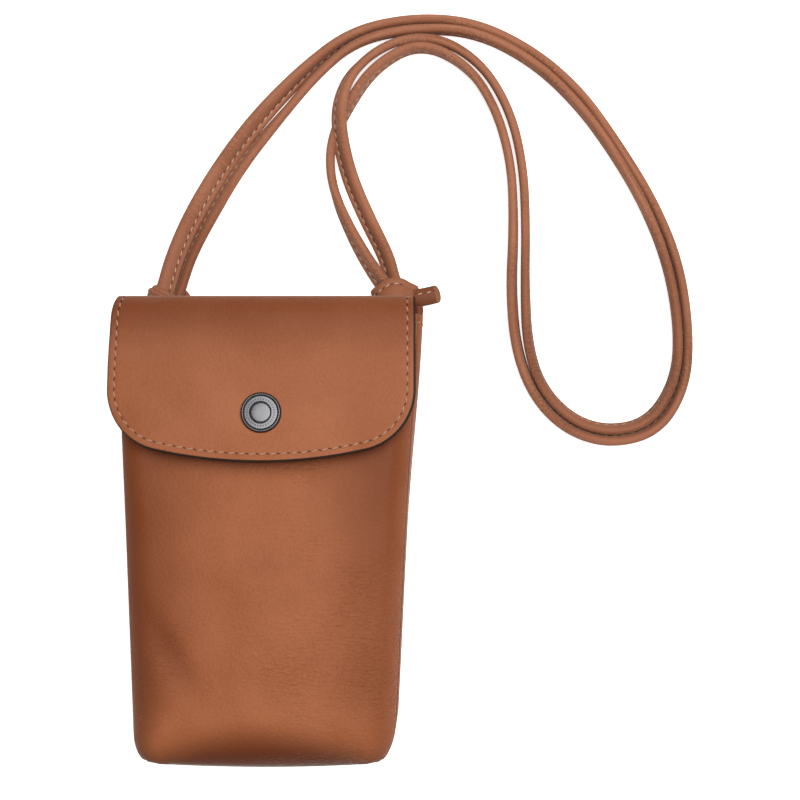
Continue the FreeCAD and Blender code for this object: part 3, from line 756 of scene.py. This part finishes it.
def sewn_row_tree():
    """Puts a stitch on each point of a row, turned along the seam, and a dark bead of painted hole shade on
    each marked point.
    """
    tree = bpy.data.node_groups.new("sewn_row", "GeometryNodeTree")
    for name, kind in (("Geometry", "Geometry"), ("Stitch length", "Float"), ("Thread thickness", "Float"),
                       ("Hole length", "Float"), ("Thread", "Material"), ("Hole", "Material")):
        tree.interface.new_socket(name=name, in_out="INPUT", socket_type="NodeSocket" + kind)
    tree.interface.new_socket(name="Geometry", in_out="OUTPUT", socket_type="NodeSocketGeometry")
    given = tree.nodes.new("NodeGroupInput").outputs
    joined = tree.nodes.new("GeometryNodeJoinGeometry")

    def row_value(name, kind):
        node = add_node(tree, "GeometryNodeInputNamedAttribute", {"Name": name}, data_type=kind)
        return node.outputs["Attribute"]

    turn_along = add_node(tree, "FunctionNodeAlignRotationToVector",
                          {"Vector": row_value("along", "FLOAT_VECTOR")}, axis="X")
    turn_out = add_node(tree, "FunctionNodeAlignRotationToVector",
                        {"Rotation": turn_along.outputs[0], "Vector": row_value("out", "FLOAT_VECTOR")},
                        axis="Z", pivot_axis="X")
    is_hole = row_value("hole", "BOOLEAN")
    is_stitch = add_node(tree, "FunctionNodeBooleanMath", {0: is_hole}, operation="NOT").outputs[0]
    width = given["Thread thickness"]
    for length, height_share, wanted, material in ((given["Stitch length"], 0.8, is_stitch, given["Thread"]),
                                                   (given["Hole length"], 0.35, is_hole, given["Hole"])):
        bead = add_node(tree, "GeometryNodeMeshUVSphere", {"Segments": 8, "Rings": 6, "Radius": 0.5})
        height = calculated(tree, "MULTIPLY", width, height_share)
        size = add_node(tree, "ShaderNodeCombineXYZ", {"X": length, "Y": width, "Z": height})
        shaped = add_node(tree, "GeometryNodeTransform",
                          {"Geometry": bead.outputs["Mesh"], "Scale": size.outputs[0]})
        spread = add_node(tree, "GeometryNodeInstanceOnPoints",
                          {"Points": given["Geometry"], "Selection": wanted,
                           "Instance": shaped.outputs["Geometry"], "Rotation": turn_out.outputs[0]})
        solid = add_node(tree, "GeometryNodeRealizeInstances", {"Geometry": spread.outputs["Instances"]})
        finish = add_node(tree, "GeometryNodeSetMaterial",
                          {"Geometry": solid.outputs["Geometry"], "Material": material})
        tree.links.new(finish.outputs["Geometry"], joined.inputs["Geometry"])
    smooth = add_node(tree, "GeometryNodeSetShadeSmooth", {"Geometry": joined.outputs["Geometry"]})
    add_node(tree, "NodeGroupOutput", {"Geometry": smooth.outputs["Geometry"]})
    return tree


sewn_row = sewn_row_tree()
row_inputs = {item.name: item.identifier for item in sewn_row.interface.items_tree
              if item.item_type == "SOCKET" and item.in_out == "INPUT"}


def stitches(name, places, alongs, outs, holes, yarn, length, thickness, hole_length):
    """A sewn row as a plain mesh, from points in millimetres with their ways along and out of the seam."""
    mesh = bpy.data.meshes.new(name)
    mesh.from_pydata((np.array(places) * mm).tolist(), [], [])
    for attribute_name, values in (("along", alongs), ("out", outs)):
        attribute = mesh.attributes.new(attribute_name, "FLOAT_VECTOR", "POINT")
        attribute.data.foreach_set("vector", np.array(values, dtype=np.float32).ravel())
    marks = mesh.attributes.new("hole", "BOOLEAN", "POINT")
    marks.data.foreach_set("value", np.array(holes, dtype=bool))
    row = bpy.data.objects.new(name, mesh)
    scene.collection.objects.link(row)
    modifier = row.modifiers.new("sewing", "NODES")
    modifier.node_group = sewn_row
    for key, value in (("Stitch length", length * mm), ("Thread thickness", thickness * mm),
                       ("Hole length", hole_length * mm), ("Thread", yarn), ("Hole", needle_hole_shade)):
        modifier[row_inputs[key]] = value
    bpy.context.view_layer.update()
    sewn = bpy.data.meshes.new_from_object(row.evaluated_get(bpy.context.evaluated_depsgraph_get()))
    row.modifiers.clear()
    row.data = sewn
    return row


def sewing_points(line, pitch):
    """Stitch middles and, between them, needle holes along a line of points, with their ways and marks."""
    line = np.array(line)
    lengths = lengths_of(line)
    count = int(lengths[-1] / pitch)
    places = (np.arange(2 * count) + 0.5) * lengths[-1] / (2 * count)

    def line_at(wanted):
        return np.stack([np.interp(wanted, lengths, values) for values in line.T], axis=-1)

    return line_at(places), unit(line_at(places + 0.4) - line_at(places - 0.4)), np.arange(2 * count) % 2 == 1


def slanted(ways, outs, holes, stitch_slant, hole_slant):
    """The ways of stitches and holes, turned a little about the way out of the leather."""
    angles = np.where(holes, hole_slant, stitch_slant)[:, None]
    return np.cos(angles) * ways + np.sin(angles) * np.cross(outs, ways)


def nearest_outs(spots, line, outs):
    """The way out of the leather at the point of a line that is nearest to each spot."""
    gaps = np.linalg.norm(spots[:, None, :] - np.array(line)[None, :, :], axis=2)
    return np.array(outs)[np.argmin(gaps, axis=1)]


spots, ways, holes = sewing_points(flap_outline(stitch_inset), 3.6)
seats, outs = flap_place(spots[:, 0], spots[:, 1], np.where(holes, 0.2, 0.14))
seam_ways = slanted(unit(np.gradient(seats, axis=0)), outs, holes, 0.26, -0.5)
flap_sewing = stitches("flap_stitches", seats, seam_ways, outs, holes, thread,
                       length=2.4, thickness=0.66, hole_length=1.6)
hinged(flap_sewing, "lace_leather")
hem_rows = 40
hem_drop = 3.0
for name, columns in (("right_hem_stitches", right_columns[2:-2]), ("left_hem_stitches", left_columns[2:-2]),
                      ("front_hem_stitches", front_columns[4:-4])):
    outer = body_layer(columns, 0, hem_rows, 0.0)
    facings = mirrored(half_normal[:hem_rows], columns)
    line = []
    outs = []
    for number in range(len(columns)):
        drops = outer[0, number, 1] - outer[:, number, 1]
        line.append([np.interp(hem_drop, drops, values) for values in outer[:, number].T])
        outs.append([np.interp(hem_drop, drops, values) for values in facings[:, number].T])
    spots, ways, holes = sewing_points(line, 3.4)
    near = nearest_outs(spots, line, outs)
    row_ways = slanted(ways, near, holes, 0.12, 0.7)
    hem = stitches(name, spots - near * 0.05, row_ways, near, holes, thread,
                   length=2.4, thickness=0.55, hole_length=1.0)
    mounted(hem, "pouch", "lace_leather")

# The snap: a dark plated cap on the flap, darker in its grooves and outer wall, with a ring of small beads;
# a socket with a ring spring under it, and a stud on the front held from inside by a post through a fibre
# patch.


def plating(name, dark, light, roughness):
    """Dark plating that has gone brighter and duller in places."""
    gloss = (roughness - 0.08, roughness + 0.12)
    return toned_material(name, dark, light, 420.0, {"Metallic": 1.0}, detail=5.0, gloss=gloss)


gunmetal = plating("gunmetal", (0.070, 0.069, 0.071), (0.146, 0.143, 0.148), 0.36)
darker_cap_metal = plating("darker_cap_metal", (0.014, 0.014, 0.015), (0.032, 0.031, 0.033), 0.42)
snap_plating = plating("snap_plating", (0.22, 0.215, 0.22), (0.36, 0.35, 0.355), 0.3)
snap_foot = np.array([0.0, snap_y, depths[0] + (mouth_y - snap_y) * math.tan(slope)])
front_normal = np.array([0.0, slope_sine, slope_cosine])
snap_side = np.array([1.0, 0.0, 0.0])
snap_up = np.cross(front_normal, snap_side)


def snap_place(radius, angle, height):
    """A point about the snap's axis, at a height over the front's leather."""
    round_way = math.cos(angle) * snap_side + math.sin(angle) * snap_up
    return snap_foot + round_way * radius + front_normal * height


def turned_piece(name, profile, segments, materials, dark_spans=()):
    """A piece turned about the snap's axis from (radius, height) pairs, the axis first and last."""
    rings = profile[1:-1]
    points = [snap_place(0, 0, profile[0][1])]
    for radius, height in rings:
        points.extend(snap_place(radius, 2 * math.pi * step / segments, height) for step in range(segments))
    points.append(snap_place(0, 0, profile[-1][1]))
    last = len(points) - 1
    faces = []
    numbers = []
    for step in range(segments):
        after = (step + 1) % segments
        faces.append((0, 1 + after, 1 + step))
        numbers.append(0)
        for ring in range(len(rings) - 1):
            first = 1 + ring * segments
            second = first + segments
            faces.append((first + step, first + after, second + after, second + step))
            numbers.append(1 if ring in dark_spans else 0)
        first = last - segments
        faces.append((last, first + step, first + after))
        numbers.append(0)
    return finished_piece(name, points, faces, numbers, materials, turn_outwards=True)


cap_foot = flap_gap + flap_thickness - snap_sunk
cap_heights = (
    (0, 0.0), (6.7, 0.0), (7.1, 0.1), (7.2, 0.35), (7.2, 0.75), (7.12, 1.0), (6.95, 1.3), (6.75, 1.48),
    (6.6, 1.56), (6.45, 1.58), (6.32, 1.5), (6.22, 1.3), (6.12, 1.14), (5.98, 1.12), (5.9, 1.22),
    (5.82, 1.31), (5.7, 1.33), (4.15, 1.34), (4.05, 1.35), (3.95, 1.42), (3.85, 1.44), (3.75, 1.36),
    (3.68, 1.16), (3.5, 1.14), (3.42, 1.28), (3.34, 1.38), (3.2, 1.41), (1.5, 1.46), (0, 1.48))
cap_profile = [(radius, cap_foot + height) for radius, height in cap_heights]
cap_dark_spans = (2, 3, 10, 11, 12, 20, 21, 22)
snap_cap = turned_piece("snap_cap_dressed", cap_profile, 96, [gunmetal, darker_cap_metal], cap_dark_spans)
mounted(snap_cap, "flap", "gunmetal", "snap_cap")
bead_angles = np.linspace(0, 2 * math.pi, 33)[:-1]
bead_places = [snap_place(4.78, angle, cap_foot + 1.3) for angle in bead_angles]
bead_ways = [math.cos(angle) * snap_up - math.sin(angle) * snap_side for angle in bead_angles]
beads = stitches("snap_cap_beads", bead_places, bead_ways, [front_normal] * len(bead_angles),
                 [False] * len(bead_angles), gunmetal, length=0.5, thickness=0.5, hole_length=0.1)
mounted(beads, "flap", "gunmetal")
# The hidden metal pieces keep the form of their solids and take the plating.
for node in ("snap_socket", "snap_spring", "snap_stud", "snap_post"):
    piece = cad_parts[node]
    piece.data.materials.clear()
    piece.data.materials.append(snap_plating)
patch_profile = [(0, -2.1), (8.6, -2.1), (9.0, -2.0), (9.0, -1.75), (8.6, -1.6), (0, -1.6)]
stud_patch = turned_piece("stud_patch_fibre", patch_profile, 48, [fibre])
mounted(stud_patch, "pouch", "stiffener", "stud_patch")

# The strap: a strip of soft leather folded round a thin core and stitched along its open edge, doubled and
# laid in a loose loop. It lies flat where it leaves the knots and stands on its sewn edge for the rest.
# A route gives x and the distance past the fold; turns give how far the lace stands on edge at lengths.
lace_leather = leather_material("lace_leather", (0.255, 0.094, 0.047), (0.345, 0.140, 0.077), pattern="UV",
                                roughness=0.5, grain=1500.0, crease=420.0, crease_amount=1.6, relief=0.9)
outer_route = [
    (-38.2, 0.5), (-37.1, 3.8), (-34.1, 14.8), (-27.4, 30.3), (-16.5, 48.7), (-2.8, 66.9), (13.4, 83.8),
    (30.9, 98.0), (53.4, 103.1), (76.3, 101.6), (98.0, 91.1), (115.5, 76.1), (130.0, 55.7), (142.7, 35.1),
    (152.0, 12.7), (155.6, -12.0), (154.3, -32.6), (144.2, -49.2), (126.3, -53.6), (110.5, -48.5),
    (98.8, -36.6), (92.1, -19.4), (90.2, 2.7), (91.3, 25.5), (90.6, 48.3), (85.0, 69.1), (74.6, 85.4),
    (56.7, 94.7), (39.7, 85.7), (28.7, 69.3), (22.9, 54.9), (24.0, 39.1), (31.8, 21.9), (40.6, 7.4),
    (44.6, 2.8)]
inner_route = [
    (-33.3, 0.5), (-32.3, 3.0), (-28.8, 14.9), (-21.1, 29.9), (-10.3, 48.4), (4.0, 66.2), (19.6, 84.0),
    (34.8, 95.9), (56.4, 99.7), (77.9, 98.1), (98.5, 87.2), (115.0, 71.5), (128.3, 53.2), (139.8, 33.4),
    (148.3, 11.3), (152.0, -12.0), (150.8, -30.4), (141.5, -45.8), (126.2, -49.4), (112.2, -44.8),
    (100.9, -32.5), (96.2, -16.5), (95.5, 4.5), (95.7, 26.6), (94.7, 48.3), (90.0, 68.7), (79.7, 86.0),
    (63.8, 96.2), (46.5, 95.2), (31.8, 85.4), (26.2, 73.0), (26.5, 60.3), (30.0, 45.1), (36.3, 30.3),
    (44.0, 15.2), (46.1, 6.5), (47.6, 2.6)]
outer_turns = ((0, 4), (30, 10), (53, 20), (76, 34), (98, 60), (122, 82), (165, 84), (310, 90), (345, 70),
               (430, 67), (470, 75), (520, 88), (545, 98), (572, 114), (597, 94), (649, 40))
inner_turns = ((0, 114), (25, 124), (45, 131), (58, 130), (76, 114), (100, 94), (150, 85), (310, 90),
               (340, 70), (395, 67), (430, 80), (530, 90), (560, 56), (590, 42), (638, 46))
outer_lifts = ((0, 3.8), (1, 3.8))
inner_lifts = ((0, 4.6), (1, 4.6), (29, 4.6), (30, 8.4), (31, 8.4), (32, 4.6))
lace_half_width = 3.55
lace_half_thickness = 1.62
lace_seam = 1.5
lace_pitch = 3.25
lace_top = [(-3.55, 0.0), (-3.45, 0.66), (-3.05, 1.22), (-2.3, 1.56), (-1.4, 1.66), (-0.4, 1.52), (0.45, 1.2),
            (1.1, 0.8), (1.5, 0.55), (1.75, 0.82), (2.4, 1.06), (3.15, 0.98), (3.5, 0.7), (3.55, 0.12),
            (3.3, 0.03)]
lace_section = np.array(lace_top + [(across, -height) for across, height in reversed(lace_top[1:])])
eye_place = np.array(camera.location[:2]) / mm
eye_height = camera.location[2] / mm


def smooth_line(points, steps):
    """Points of a smooth spline with the given control points, in millimetres."""
    curve = bpy.data.curves.new("route", "CURVE")
    curve.dimensions = "3D"
    curve.resolution_u = steps
    spline = curve.splines.new("NURBS")
    spline.points.add(len(points) - 1)
    for spot, point in zip(spline.points, points):
        spot.co = (point[0] * mm, point[1] * mm, point[2] * mm, 1)
    spline.order_u = 3
    spline.use_endpoint_u = True
    holder = bpy.data.objects.new("route", curve)
    scene.collection.objects.link(holder)
    bpy.context.view_layer.update()
    mesh = bpy.data.meshes.new_from_object(holder)
    line = np.array([vertex.co for vertex in mesh.vertices]) / mm
    bpy.data.objects.remove(holder)
    bpy.data.meshes.remove(mesh)
    return line


def lace(name, node, route, turns, lifts):
    """One strand: its mesh, its path and its stitches. lifts gives the heights of some points of its route.

    The route was measured on the table from above, so a strand that stands up is drawn in to lie over it.
    """
    flat = np.array([(x, fold_y + out, 0.0) for x, out in route])
    turn_lengths, turn_degrees = np.array(turns, dtype=float).T

    def stood_along(line):
        reached = lengths_of(line)
        return np.radians(np.interp(reached * turn_lengths[-1] / reached[-1], turn_lengths, turn_degrees))

    stood = stood_along(flat)
    flat[:, 2] = 0.1 + np.hypot(lace_half_width * np.sin(stood), lace_half_thickness * np.cos(stood))
    for number, height in lifts:
        flat[number, 2] = height
    sight = (eye_height - flat[:, 2] - 1.5 * np.abs(np.sin(stood))) / (eye_height - lace_half_thickness)
    flat[:, :2] = eye_place + (flat[:, :2] - eye_place) * sight[:, None]
    path = smooth_line(flat, 12)
    stood = stood_along(path)
    window = np.hanning(41)
    padded = np.concatenate([np.full(20, stood[0]), stood, np.full(20, stood[-1])])
    stood = np.convolve(padded, window / window.sum(), "valid")[:, None]
    ahead = unit(np.gradient(path, axis=0))
    left = unit(np.cross((0, 0, 1), ahead))
    up = np.cross(ahead, left)
    widths = -left * np.cos(stood) - up * np.sin(stood)
    outs = up * np.cos(stood) - left * np.sin(stood)
    strand = sweep(name, path, widths, outs, lace_section, [lace_leather])
    rows = []
    for face in (1.0, -1.0):
        line = path + widths * lace_seam + outs * 0.76 * face
        spots, ways, holes = sewing_points(line, lace_pitch)
        near = nearest_outs(spots, line, outs) * face
        seats = spots - near * np.where(holes, 0.08, -0.04)[:, None]
        rows.append((seats, slanted(ways, near, holes, 0.2 * face, 0.6 * face), near, holes))
    both_rows = [np.concatenate(values) for values in zip(*rows)]
    sewing = stitches(name + "_stitches", *both_rows, pale_thread,
                      length=1.9, thickness=0.44, hole_length=1.35)
    mounted(strand, "pouch", "lace_leather", node)
    mounted(sewing, "pouch", "lace_leather")
    return strand, path, sewing


def lace_painted_shade(points):
    """Painted shade on the lace: darker near the knots, and most where the inner strand lies in the fold."""
    x, y = points[:, 0], points[:, 1]
    at_left = 0.65 * eased_step(-x, -4.0, 24.0) * eased_step(-y, -136.0, -98.0)
    at_right = 0.35 * eased_step(x, 20.0, 34.0) * eased_step(-y, -112.0, -92.0)
    return at_left + at_right


outer_strand, outer_path, outer_sewing = lace("outer_lace", "strap_outer_strand", outer_route, outer_turns,
                                              outer_lifts)
inner_strand, inner_path, inner_sewing = lace("inner_lace", "strap_inner_strand", inner_route, inner_turns,
                                              inner_lifts)
# Painted shade: the strands are painted darker near the knots, where the flap and the outer strand shade them.
paint_shade(inner_strand, lace_painted_shade)
paint_shade(outer_strand, lambda points: 0.45 * lace_painted_shade(points))

# The knots: at each end of the fold the lace is wrapped round its own ends and pulled tight behind the flap.
# The right one is a single broad band, and leaves a short tail, cut on the slant, that points away.
cut_leather = leather_material("cut_leather", (0.37, 0.17, 0.10), (0.47, 0.25, 0.16),
                               roughness=0.75, grain=1900.0, crease=500.0, crease_amount=0.3, relief=0.3)


def wound_band(name, node, points, middle, section, materials, painted_shade, cut_slant=0.0):
    """A band of lace laid along a smooth line with its outside turned away from a middle point."""
    line = smooth_line(points, 12)
    ahead = unit(np.gradient(line, axis=0))
    widths = unit(np.cross(line - np.array(middle), ahead))
    outs = np.cross(ahead, widths)
    band = sweep(name, line, widths, outs, section, materials, len(materials) - 1, cut_slant)
    paint_shade(band, painted_shade)
    mounted(band, "pouch", "lace_leather", node)
    return band, line, widths, outs


def band_row(name, line, widths, outs, seam, height):
    """The sewing along the seam of a band of lace, on its outside."""
    spots, ways, holes = sewing_points(line + widths * seam + outs * height, lace_pitch)
    near = nearest_outs(spots, line, outs)
    row = stitches(name, spots, slanted(ways, near, holes, 0.2, 0.6), near, holes, pale_thread,
                   length=1.8, thickness=0.42, hole_length=1.3)
    mounted(row, "pouch", "lace_leather")
    return row


def oval(half_width, half_height, first_angle, last_angle, count):
    """An oval section of (across, out) pairs, from one angle to another a full turn on."""
    angles = np.linspace(first_angle, last_angle, count + 1)[:-1]
    return np.stack([half_width * np.cos(angles), half_height * np.sin(angles)], axis=-1)


# Painted shade: the knot wraps are painted a little darker and the tail much darker, for the shade they lie in
# by the fold.
left_wrap, line, widths, outs = wound_band(
    "left_knot_wrap", "left_knot",
    [(-28.4, 84.0, 3.2), (-29.2, 85.8, 3.2), (-31.0, 87.4, 2.4), (-34.5, 88.6, 1.2), (-38.5, 88.9, 1.2),
     (-41.0, 88.5, 2.4), (-41.2, 88.0, 4.8), (-38.2, 86.8, 6.8), (-35.6, 85.4, 6.8), (-32.0, 84.3, 5.0),
     (-30.4, 83.6, 2.4), (-35.0, 85.4, 1.1), (-40.2, 87.3, 1.2), (-42.8, 87.5, 2.6), (-42.4, 86.9, 4.8),
     (-40.0, 86.0, 6.5), (-37.2, 84.9, 6.8), (-33.5, 84.0, 4.8), (-31.2, 83.0, 2.4), (-36.0, 84.4, 1.1),
     (-41.0, 86.0, 1.2), (-43.0, 86.0, 2.8), (-42.6, 85.5, 4.8), (-40.6, 84.9, 6.2), (-37.4, 84.2, 5.0)],
    (-36.0, 86.6, 3.6), oval(1.15, 1.0, math.pi, -math.pi, 24), [lace_leather], painted_shade=0.35)
right_wrap, line, widths, outs = wound_band(
    "right_knot_wrap", "right_knot",
    [(40.8, 83.2, 1.4), (39.9, 83.3, 4.6), (42.4, 85.2, 7.4), (45.6, 87.6, 8.0), (48.4, 88.0, 7.8),
     (51.6, 86.2, 6.6), (54.6, 84.9, 4.6), (54.2, 84.6, 1.4), (50.0, 85.4, 1.2)],
    (47.0, 86.2, 2.2), lace_section * np.array([1.2, 0.72]), [lace_leather], painted_shade=0.35)
seen = line[:, 0] < 49.5
right_row = band_row("right_knot_stitches", line[seen], widths[seen], outs[seen], seam=1.8, height=0.5)
tail, line, widths, outs = wound_band(
    "strap_tail_end", "strap_tail",
    [(49.0, 86.4, 3.2), (53.6, 84.6, 4.0), (57.6, 84.8, 4.8), (62.4, 86.0, 5.2)],
    (56.0, 85.2, -60.0), oval(3.3, 2.2, math.pi, -math.pi, 32), [lace_leather, cut_leather],
    painted_shade=0.8, cut_slant=0.6)
tail_row = band_row("strap_tail_stitches", line, widths, outs, seam=1.2, height=2.0)

# The tabs: a roll of leather at each end of the mouth, sewn into the hem, that holds the knot.
# With them the strap is whole.


def tab(name, node, points, thickness):
    """One tab along its own smooth line."""
    line = smooth_line(points, 10)
    ahead = unit(np.gradient(line, axis=0))
    side = unit(np.cross((0.3, 0.2, 0.93), ahead))
    section = oval(1.0, 1.0, 0, 2 * math.pi, 18) * thickness / 2
    roll = sweep(name, line, side, np.cross(ahead, side), section, [lace_leather])
    # Painted shade: the tabs are painted dark for the shade they lie in at the fold's ends.
    paint_shade(roll, 0.9)
    mounted(roll, "pouch", "lace_leather", node)
    return roll


left_tab = tab("left_tab_roll", "left_strap_tab",
               [(-55.6, 72.5, 4.0), (-55.7, 77.5, 2.2), (-54.0, 81.0, 1.2), (-48.0, 83.2, 1.2),
                (-42.2, 84.8, 2.2)], thickness=1.8)
right_tab = tab("right_tab_roll", "right_strap_tab",
                [(54.8, 74.6, 4.4), (55.7, 78.0, 4.2), (56.1, 81.0, 3.6), (54.6, 85.0, 2.6)],
                thickness=3.3)
